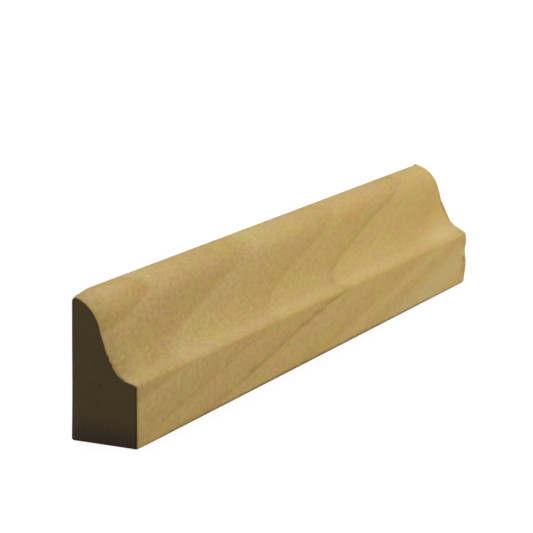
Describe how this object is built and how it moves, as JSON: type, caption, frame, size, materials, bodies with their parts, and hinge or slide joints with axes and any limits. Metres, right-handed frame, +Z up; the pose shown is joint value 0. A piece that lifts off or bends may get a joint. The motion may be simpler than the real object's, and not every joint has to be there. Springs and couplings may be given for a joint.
{
  "type": "base shoe moulding",
  "caption": "Short length of ogee base shoe moulding in pale unfinished hardwood, for the joint between a baseboard or wall and the floor.",
  "frame": {"origin": "on the floor, under the middle of the stick's bounding box", "axes": "+X along the length, +Y out of the flat back towards the wall, +Z up; the moulded front faces -Y"},
  "size_m": [0.1524, 0.0126, 0.0254],
  "materials": {
    "pale_hardwood": "planed, unfinished"
  },
  "bodies": {
    "root": {"shoe_moulding": "pale_hardwood"}
  },
  "joints": []
}
